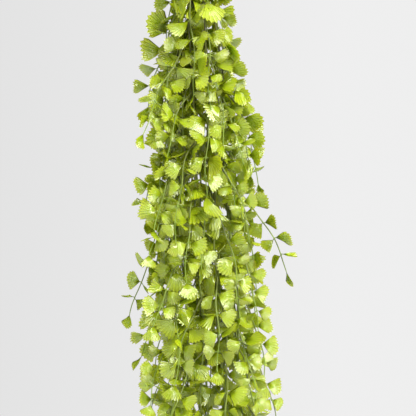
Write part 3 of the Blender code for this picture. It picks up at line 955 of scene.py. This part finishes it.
def try_spray(thicket, stem_name, start, along, middle, facing, opening, most_pairs, rng):
    """One spray from a point on a stem, turned about until it is clear of all the others, or None.

    It is given as (frames, teeth, end). It turns its upper face towards facing, where the light comes from.
    """
    outward = outward_at(start, middle)
    for attempt in range(SPRAY_TRIES):
        turn = rng.gauss(0, 0.75 + 0.02 * attempt)
        away = Vector(
            (
                outward.x * math.cos(turn) - outward.y * math.sin(turn),
                outward.x * math.sin(turn) + outward.y * math.cos(turn),
                0,
            )
        )
        lean = opening * rng.uniform(0.65, 1.15)
        heading = away * math.sin(lean) + along * math.cos(lean)
        twist = rng.gauss(0, 0.45 + 0.01 * attempt)
        level = facing.cross(heading).normalized()
        side = level * math.cos(twist) + heading.cross(level).normalized() * math.sin(twist)
        pairs = max(2, most_pairs - attempt // 22 - rng.randrange(2))
        steepness = rng.triangular(LEAST_DROOP, MOST_DROOP, USUAL_DROOP)
        frames = droop(start, heading, side, steepness, spray_length(pairs) + SPRAY_STEP)
        leaf_r = LEAF_R * rng.uniform(0.86, 1.1)
        teeth, end = spray_teeth(pairs, leaf_r, rng)
        rows = spray_rows(frames, leaf_r, teeth, end)
        if any(in_the_way(c + a * r) for c, a, _, left, right in rows for r in (-left, 0, right)):
            continue
        verts, faces = blade(rows, LEAST_CLEARANCE / 2)
        if thicket.is_clear(verts, faces, (stem_name, "stem")):
            thicket.add(verts, faces, (stem_name, "spray"))
            return frames, teeth, end
    return None


def points_along(route, first, spacing):
    """Places along a route, from the distance first on, as (point, direction, share of the length)."""
    total = sum((b - a).length for a, b in zip(route, route[1:]))
    found, travelled, target = [], 0.0, first
    for a, b in zip(route, route[1:]):
        span = (b - a).length
        while target <= travelled + span and target < total - BARE_TIP:
            found.append((a.lerp(b, (target - travelled) / span), (b - a).normalized(), target / total))
            target += spacing
        travelled += span
    return found


def spray_opening(share, trails):
    """The angle between a spray and its stem: narrow where the bunch starts to hang, wide further down."""
    if not trails:
        return CROWN_OPENING
    return between(LEAST_OPENING, MOST_OPENING, min(1.0, max(0.0, (share - OPENS_FROM) / OPENS_OVER)))


def plan_fronds():
    """Every frond as (name, route, sprays). Stems come first, so that sprays grow clear of them all."""
    thicket = Thicket()
    fronds = []
    for number, (side, front) in enumerate(bunch_slots()):
        fronds.append((f"trailing_frond_{number + 1:02d}", trailing_route(number, side, front), True))
    for number, ends_at in enumerate(CROWN_FRONDS):
        fronds.append((f"crown_frond_{number + 1:02d}", crown_route(*ends_at), False))
    for name, route, _ in fronds:
        thicket.add(*tube_rings(route, STEM_R + LEAST_CLEARANCE, 6), (name, "stem"))
    planned = []
    for index, (name, route, trails) in enumerate(fronds):
        rng = random.Random(f"sprays {name}")
        facing = TRAILING_FACES if trails else CROWN_FACES
        sprays = []
        spacing = SPRAY_SPACING if trails else CROWN_SPRAY_SPACING
        first = FIRST_SPRAY + FIRST_SPRAY_STAGGER * (index % 4) if trails else FIRST_CROWN_SPRAY
        for point, along, share in points_along(route, first, spacing):
            middle = bunch_middle(point.z) if trails and point.z < 0 else ROOTSTOCK_MIDDLE
            pairs = LONG_SPRAY_PAIRS if trails and share > LONG_SPRAYS_FROM else SHORT_SPRAY_PAIRS
            opening = spray_opening(share, trails)
            spray = try_spray(thicket, name, point, along, middle, facing, opening, pairs, rng)
            if spray:
                sprays.append(spray)
        tip, along = route[-1], (route[-1] - route[-2]).normalized()
        start, middle = tip - along * STEM_R, route[0]
        pairs = SHORT_SPRAY_PAIRS
        spray = try_spray(thicket, name, start, along, middle, facing, TIP_OPENING, pairs, rng)
        if spray:
            sprays.append(spray)
        planned.append((name, route, sprays))
    return planned


fronds = plan_fronds()

# ---------------------------------------------------------------- the stalks
# Wiry stalks: a long one to each frond, grey-brown and glossy, with finer ones for the sprays that go from
# brown to green towards their tips. A short stalk carries each leaflet, and a tiny pointed bud sits by it.

STALK_STEP_SPANS = 5
RACHIS_R = 0.00068
RACHIS_TIP_R = 0.00042
MIDRIB_STEP = 0.003
MIDRIB_SWAY = 0.0012
MIDRIB_WAVE = 0.055
PAIR_OFFSET = 0.0012
LEAF_STALK = 0.0017
LEAF_STALK_R = 0.00042
LEAF_STALK_SUNK = 0.0008
FIRST_STEM_LEAF = 0.060
STEM_LEAF_SPACING = 0.023
STEM_LEAVES_BELOW = 0.030
BUD_LENGTH = 0.0021
BUD_R = 0.00048
STALK_SIDES = 8
LEAF_SPLAY = 1.12


def stalk_skin():
    """Glossy stalk: "age" goes from 0, woody grey-brown, to 1, fresh green."""
    made, tree, shader = material("stalk")
    wood = mottled(tree, colour(56, 42, 26), colour(104, 86, 56), 140.0, 1400.0, 2.2)
    age = node(tree, "ShaderNodeAttribute", attribute_name="age")
    green = mottled(tree, colour(92, 116, 16), colour(138, 162, 44), 90.0, 1200.0, 2.0)
    patchy = maths(tree, "MULTIPLY_ADD", wood.outputs["Cloud"], 0.7, -0.35)
    share = maths(tree, "ADD", age.outputs["Fac"], patchy, clamp=True)
    mixed = blended(tree, share, wood.outputs["Color"], green.outputs["Color"])
    tree.links.new(mixed, shader.inputs["Base Color"])
    shader.inputs["Roughness"].default_value = 0.50
    bumped(tree, shader, wood.outputs["Grain"], 0.0002)
    return made


def stalk_tree():
    """Turns lines into round stalks that are as thick as "thickness" says at each point."""
    tree, given = new_tree("wiry_stalks", {"Sides": "Int", "Finish": "Material"})
    lines = node(tree, "GeometryNodeMeshToCurve", {"Mesh": given.outputs["Geometry"]}).outputs[0]
    ring = node(
        tree, "GeometryNodeCurvePrimitiveCircle", {"Resolution": given.outputs["Sides"], "Radius": 1.0}
    ).outputs[0]
    thick = node(tree, "GeometryNodeInputNamedAttribute", {"Name": "thickness"}, data_type="FLOAT")
    tubes = node(
        tree,
        "GeometryNodeCurveToMesh",
        {"Curve": lines, "Profile Curve": ring, "Scale": thick.outputs[0], "Fill Caps": True},
    ).outputs[0]
    rounded = node(tree, "GeometryNodeSetShadeSmooth", {"Geometry": tubes}).outputs[0]
    closed_off(tree, rounded, given.outputs["Finish"])
    return tree


def line_object(name, lines):
    """Lines as one mesh of edges: each line is a list of (point, thickness, age)."""
    mesh = bpy.data.meshes.new(name)
    spots = [spot for line in lines for spot in line]
    edges, first = [], 0
    for line in lines:
        edges += [(first + k, first + k + 1) for k in range(len(line) - 1)]
        first += len(line)
    mesh.from_pydata([point for point, _, _ in spots], edges, [])
    for layer, place in (("thickness", 1), ("age", 2)):
        values = mesh.attributes.new(layer, "FLOAT", "POINT").data
        values.foreach_set("value", [spot[place] for spot in spots])
    return linked(bpy.data.objects.new(name, mesh))


def midrib_at(frames, distance, phase):
    """The place, side vector and upward vector at a distance along a midrib, which sways a little."""
    point, across, up = frame_at(frames, distance)
    bend = MIDRIB_SWAY * min(1.0, distance / SPRAY_STALK)
    point = point + across * bend * math.sin(distance / MIDRIB_WAVE * math.tau + phase)
    point = point + up * bend * 0.7 * math.sin(distance / MIDRIB_WAVE * 4.1 + phase * 2)
    return point, across, up


def leaf_places(frames, teeth, end, phase, rng):
    """Where a spray's leaflets sit: (joint on the midrib, axis, upward vector, reach)."""
    places = []
    for distance, left, right in teeth:
        for reach, hand in ((left, -1), (right, 1)):
            place = distance + rng.uniform(-PAIR_OFFSET, PAIR_OFFSET)
            point, across, up = midrib_at(frames, place, phase)
            along = across.cross(up) * -1
            splay = LEAF_SPLAY + rng.gauss(0, 0.20)
            axis = along * math.cos(splay) + across * hand * math.sin(splay) + up * rng.gauss(0.05, 0.22)
            places.append((point, axis.normalized(), up, reach / TOOTH_SHARE))
    point, across, up = midrib_at(frames, end, phase)
    along = across.cross(up) * -1
    axis = along + across * rng.gauss(0, 0.15) + up * rng.gauss(0, 0.15)
    places.append((point, axis.normalized(), up, teeth[-1][1] / TOOTH_SHARE * 1.05))
    return places


def stem_leaf_places(route, rng):
    """Small leaflets that sit on a long stalk itself, between its sprays, from below the rim down."""
    places = []
    for point, along, _ in points_along(route, FIRST_STEM_LEAF, STEM_LEAF_SPACING):
        turn = rng.uniform(0, math.tau)
        splay = rng.uniform(0.7, 1.25)
        reach = LEAF_R * rng.uniform(0.70, 1.0)
        out = Vector((math.cos(turn), math.sin(turn), 0))
        axis = (along * math.cos(splay) + out * math.sin(splay)).normalized()
        if point.z < -STEM_LEAVES_BELOW:
            places.append((point, axis, axis.cross(along).cross(axis).normalized() * -1, reach))
    return places


def tapered(points, thick, thin, youngest, oldest, greens_from=0.0):
    """A line of (point, thickness, age) that thins along its points and goes from one age to another."""
    last = len(points) - 1
    line = []
    for k, point in enumerate(points):
        share = k / last
        ripe = max(0.0, share - greens_from) / (1 - greens_from)
        line.append((point, between(thick, thin, share), between(youngest, oldest, ripe)))
    return line


def frond_lines(name, route, sprays):
    """A frond's stalks as lines, and its leaflets' places."""
    rng = random.Random(f"leaflets {name}")
    main = smooth_route(route, [STALK_STEP_SPANS] * (len(route) - 1))
    lines = [tapered(main, STEM_R, STEM_TIP_R, 0.0, 0.75, 0.35)]
    places = stem_leaf_places(route, rng) if name.startswith("trailing") else []
    for frames, teeth, end in sprays:
        phase = rng.uniform(0, math.tau)
        count = math.ceil(end / MIDRIB_STEP)
        spots = [midrib_at(frames, end * k / count, phase)[0] for k in range(count + 1)]
        lines.append(tapered(spots, RACHIS_R, RACHIS_TIP_R, 0.4, 1.0))
        places += leaf_places(frames, teeth, end, phase, rng)
        for distance, _, _ in teeth:
            joint, across, up = midrib_at(frames, distance, phase)
            tip = joint + (across.cross(up) * -0.8 + up * 0.6) * BUD_LENGTH
            middle = (joint.lerp(tip, 0.5), BUD_R * 0.8, 0.6)
            lines.append([(joint, BUD_R, 0.7), middle, (tip, BUD_R * 0.15, 0.5)])
    leaves = []
    for joint, axis, up, size in places:
        base = joint + axis * LEAF_STALK
        ends = [joint, joint.lerp(base, 0.6), base + axis * LEAF_STALK_SUNK]
        lines.append(tapered(ends, LEAF_STALK_R, LEAF_STALK_R * 0.8, 1.0, 1.0))
        leaves.append((base, axis, up, size))
    return lines, leaves


# ---------------------------------------------------------------- the leaflets
# Fan-shaped leaflets, thin and a little fleshy: the veins spread from the joint to a toothed outer edge and
# stand up in fine ridges. Each one has its own size, opening, cup, fold and shade of yellow-green.

TEETH = 8
TOOTH_DEPTH = 0.105
FLUTE = 0.00075
LEAF_THICKNESS = 0.00050
VEIN_HEIGHT = 0.00075
LEAF_REACH = (1.02, 1.26)
LEAF_OPENING = (92, 8)
LEAF_CUP = (-14.0, 13.0)
LEAF_FOLD = (0.02, 0.14)
LEAF_TINT = (0.52, 0.24)
LEAF_SHADES = (
    (0.00, (136, 120, 0)),
    (0.20, (108, 120, 0)),
    (0.50, (128, 148, 0)),
    (0.80, (144, 168, 6)),
    (1.00, (176, 190, 64)),
)


def leaf_skin():
    """Yellow-green leaf with raised veins and a soft sheen; the veins are painted paler, partly their own
    colour and partly painted highlight. "tint" goes from olive to pale lime.
    """
    made, tree, shader = material("leaf")
    fan = node(tree, "ShaderNodeSeparateXYZ", {0: node(tree, "ShaderNodeUVMap", uv_map="UVMap").outputs[0]})
    across, out = fan.outputs["X"], fan.outputs["Y"]
    veins = []
    for count in (TEETH, TEETH * 2):
        wave = maths(tree, "SINE", maths(tree, "MULTIPLY_ADD", across, math.tau * count, -math.pi / 2))
        veins.append(maths(tree, "POWER", maths(tree, "MULTIPLY_ADD", wave, 0.5, 0.5), 2.0))
    fork = maths(tree, "MULTIPLY_ADD", out, 2.4, -0.7, clamp=True)
    fine = maths(tree, "MULTIPLY", veins[1], fork)
    ridge = maths(tree, "MULTIPLY_ADD", fine, 0.75, times(tree, veins[0], 0.5))
    tint = node(tree, "ShaderNodeAttribute", attribute_name="tint")
    patchy = mottled(tree, colour(104, 116, 0), colour(164, 192, 14), 130.0, 1500.0, 1.8)
    shades = node(tree, "ShaderNodeValToRGB", {0: tint.outputs["Fac"]})
    ramp = shades.color_ramp
    while len(ramp.elements) < len(LEAF_SHADES):
        ramp.elements.new(0.5)
    for element, (place, shade) in zip(ramp.elements, LEAF_SHADES):
        element.position = place
        element.color = colour(*shade)
    clouded = blended(tree, 0.40, shades.outputs[0], patchy.outputs["Color"])
    # The veins are painted paler: partly their own colour, partly a painted highlight standing in for the
    # sheen on the raised ridges.
    veins_and_painted_sheen = blended(tree, maths(tree, "MULTIPLY", ridge, 0.70, clamp=True), clouded, colour(198, 214, 30))
    joint = maths(tree, "MULTIPLY_ADD", out, -1.5, 0.4, clamp=True)
    based = blended(tree, joint, veins_and_painted_sheen, colour(150, 178, 14))
    rim = maths(tree, "MULTIPLY_ADD", out, 9.0, -8.2, clamp=True)
    worn = times(tree, rim, times(tree, patchy.outputs["Cloud"], 0.5))
    edged = blended(tree, worn, based, colour(122, 104, 10))
    under = node(tree, "ShaderNodeAttribute", attribute_name="underside")
    both = blended(tree, times(tree, under.outputs["Fac"], 0.35), edged, colour(150, 172, 22))
    tree.links.new(both, shader.inputs["Base Color"])
    rough = maths(tree, "MULTIPLY_ADD", patchy.outputs["Cloud"], 0.16, 0.17)
    tree.links.new(rough, shader.inputs["Roughness"])
    shader.inputs["IOR"].default_value = 1.65
    shader.inputs["Specular IOR Level"].default_value = 1.0
    shader.inputs["Subsurface Weight"].default_value = 0.35
    shader.inputs["Subsurface Radius"].default_value = (0.8, 1.0, 0.10)
    shader.inputs["Subsurface Scale"].default_value = 0.0016
    bumped(tree, shader, ridge, VEIN_HEIGHT)
    return made


def named(tree, name, kind):
    """The output that reads a named attribute."""
    return node(tree, "GeometryNodeInputNamedAttribute", {"Name": name}, data_type=kind).outputs[0]


def vector_sum(tree, operation, first, second):
    return node(tree, "ShaderNodeVectorMath", {0: first, 1: second}, operation=operation).outputs[0]


def scaled(tree, vector, factor):
    return node(tree, "ShaderNodeVectorMath", {0: vector, "Scale": factor}, operation="SCALE").outputs[0]


def leaflet_tree():
    """Opens a closed, toothed fan on each point.

    A point's "axis" and "across" are the fan's directions; "reach", "opening", "cup", "fold" and "phase"
    shape it. The fan is a grid bent round its joint: u goes across, from -0.5 to 0.5, and v outwards.
    """
    tree, given = new_tree(
        "fan_leaflets",
        {
            "Teeth": "Int",
            "Tooth Depth": "Float",
            "Flute": "Float",
            "Thickness": "Float",
            "Finish": "Material",
        },
    )
    teeth = given.outputs["Teeth"]
    points_across = maths(tree, "MULTIPLY_ADD", teeth, 2, 1)
    grid = {"Size X": 1.0, "Size Y": 1.0, "Vertices X": points_across, "Vertices Y": 3}
    sheet = node(tree, "GeometryNodeMeshGrid", grid).outputs[0]
    spot = node(tree, "ShaderNodeSeparateXYZ", {0: node(tree, "GeometryNodeInputPosition").outputs[0]})
    outwards = maths(tree, "ADD", spot.outputs["Y"], 0.5)
    sides = []
    for under in (0.0, 1.0):
        side = node(tree, "GeometryNodeFlipFaces", {0: sheet}).outputs[0] if under else sheet
        place = node(tree, "ShaderNodeCombineXYZ", {0: spot.outputs["X"], 1: outwards, 2: under}).outputs[0]
        side = stored(tree, side, "fan", "FLOAT_VECTOR", "POINT", place)
        sides.append(stored(tree, side, "underside", "FLOAT", "FACE", under))
    pair = node(tree, "GeometryNodeJoinGeometry")
    for side in reversed(sides):
        tree.links.new(side, pair.inputs[0])
    joints = stored(
        tree,
        given.outputs["Geometry"],
        "joint",
        "FLOAT_VECTOR",
        "POINT",
        node(tree, "GeometryNodeInputPosition").outputs[0],
    )
    fans = node(tree, "GeometryNodeInstanceOnPoints", {"Points": joints, "Instance": pair.outputs[0]})
    fans = node(tree, "GeometryNodeRealizeInstances", {0: fans.outputs[0]}).outputs[0]

    fan = node(tree, "ShaderNodeSeparateXYZ", {0: named(tree, "fan", "FLOAT_VECTOR")})
    u, v, under = fan.outputs["X"], fan.outputs["Y"], fan.outputs["Z"]
    reach = named(tree, "reach", "FLOAT")
    phase = named(tree, "phase", "FLOAT")
    edge = times(tree, maths(tree, "ABSOLUTE", u), 2.0)
    turn = times(tree, u, math.tau, teeth)
    notch = maths(tree, "MULTIPLY_ADD", maths(tree, "COSINE", turn), 0.5, 0.5)
    outer = maths(tree, "POWER", v, 3.0)
    bitten = times(tree, notch, given.outputs["Tooth Depth"], outer)
    rounded = times(tree, maths(tree, "POWER", edge, 6.0), 0.10)
    swell = maths(tree, "SINE", maths(tree, "MULTIPLY_ADD", u, 8.0, phase))
    uneven = maths(tree, "MULTIPLY_ADD", swell, 0.055, maths(tree, "SUBTRACT", 1.0, rounded))
    factor = maths(tree, "SUBTRACT", uneven, bitten)
    out = times(tree, v, reach, factor)
    angle = times(tree, u, named(tree, "opening", "FLOAT"))
    x = times(tree, out, maths(tree, "SINE", angle))
    y = times(tree, out, maths(tree, "COSINE", angle))
    flutes = times(tree, maths(tree, "SUBTRACT", 0.5, notch), given.outputs["Flute"], v)
    curve = times(tree, out, out, named(tree, "cup", "FLOAT"))
    cupped = maths(tree, "MULTIPLY_ADD", maths(tree, "ABSOLUTE", x), named(tree, "fold", "FLOAT"), flutes)
    wave = maths(tree, "SINE", maths(tree, "MULTIPLY_ADD", u, 5.0, phase))
    waved = times(tree, wave, outer, times(tree, reach, 0.06))
    belly = times(tree, v, maths(tree, "SUBTRACT", 1.0, v), 4.0)
    inside = maths(tree, "SUBTRACT", 1.0, maths(tree, "POWER", edge, 4.0))
    thick = times(tree, belly, inside, given.outputs["Thickness"])
    height = maths(tree, "ADD", maths(tree, "ADD", curve, cupped), waved)
    height = maths(tree, "SUBTRACT", height, times(tree, thick, under))
    axis = named(tree, "axis", "FLOAT_VECTOR")
    across = named(tree, "across", "FLOAT_VECTOR")
    place = vector_sum(tree, "ADD", named(tree, "joint", "FLOAT_VECTOR"), scaled(tree, axis, y))
    place = vector_sum(tree, "ADD", place, scaled(tree, across, x))
    up = vector_sum(tree, "CROSS_PRODUCT", across, axis)
    place = vector_sum(tree, "ADD", place, scaled(tree, up, height))
    shape = node(tree, "GeometryNodeSetPosition", {"Geometry": fans, "Position": place}).outputs[0]
    flat = node(tree, "ShaderNodeCombineXYZ", {0: maths(tree, "ADD", u, 0.5), 1: v}).outputs[0]
    mapped = stored(tree, shape, "UVMap", "FLOAT2", "CORNER", flat)
    welded = node(tree, "GeometryNodeMergeByDistance", {"Geometry": mapped, "Distance": 2e-6}).outputs[0]
    smooth = node(tree, "GeometryNodeSetShadeSmooth", {"Geometry": welded}).outputs[0]
    margin = maths(tree, "GREATER_THAN", maths(tree, "MAXIMUM", v, edge), 0.999)
    crisp = node(
        tree,
        "GeometryNodeSetShadeSmooth",
        {"Geometry": smooth, "Selection": margin, "Shade Smooth": False},
        domain="EDGE",
    ).outputs[0]
    closed_off(tree, crisp, given.outputs["Finish"])
    return tree


def leaf_points(name, leaves):
    """One point for each leaflet, with what shapes it."""
    rng = random.Random(f"shapes {name}")
    facing = (TRAILING_FACES if name.startswith("trailing") else CROWN_FACES).normalized()
    mesh = bpy.data.meshes.new(name)
    mesh.from_pydata([base for base, _, _, _ in leaves], [], [])
    vectors, numbers = {"axis": [], "across": []}, {}
    for base, axis, up, size in leaves:
        lift = (up * 0.75 + facing * 0.45 + Vector([rng.gauss(0, 0.33) for _ in range(3)])).normalized()
        across = axis.cross(lift).normalized()
        vectors["axis"].extend(axis)
        vectors["across"].extend(across)
        for key, value in (
            ("reach", size * rng.uniform(*LEAF_REACH)),
            ("opening", math.radians(rng.gauss(*LEAF_OPENING))),
            ("cup", rng.gauss(*LEAF_CUP)),
            ("fold", rng.gauss(*LEAF_FOLD)),
            ("phase", rng.uniform(0, math.tau)),
            ("tint", min(1.0, max(0.0, rng.gauss(*LEAF_TINT)))),
        ):
            numbers.setdefault(key, []).append(value)
    for key, values in vectors.items():
        mesh.attributes.new(key, "FLOAT_VECTOR", "POINT").data.foreach_set("vector", values)
    for key, values in numbers.items():
        mesh.attributes.new(key, "FLOAT", "POINT").data.foreach_set("value", values)
    return linked(bpy.data.objects.new(name, mesh))


def make_fronds():
    """Each frond's stalks and leaflets, which stand together for its solid."""
    bark, skin = stalk_skin(), leaf_skin()
    tubes, fans = stalk_tree(), leaflet_tree()
    for name, route, sprays in fronds:
        lines, leaves = frond_lines(name, route, sprays)
        stalks = line_object(name + "_stalks", lines)
        grown(stalks, tubes, Sides=STALK_SIDES, Finish=bark)
        finished(stalks, None, "stalk", name)
        leaflets = leaf_points(name + "_leaflets", leaves)
        shape = {"Teeth": TEETH, "Tooth_Depth": TOOTH_DEPTH, "Flute": FLUTE, "Thickness": LEAF_THICKNESS}
        grown(leaflets, fans, **shape, Finish=skin)
        finished(leaflets, None, "leaf", name)


make_fronds()
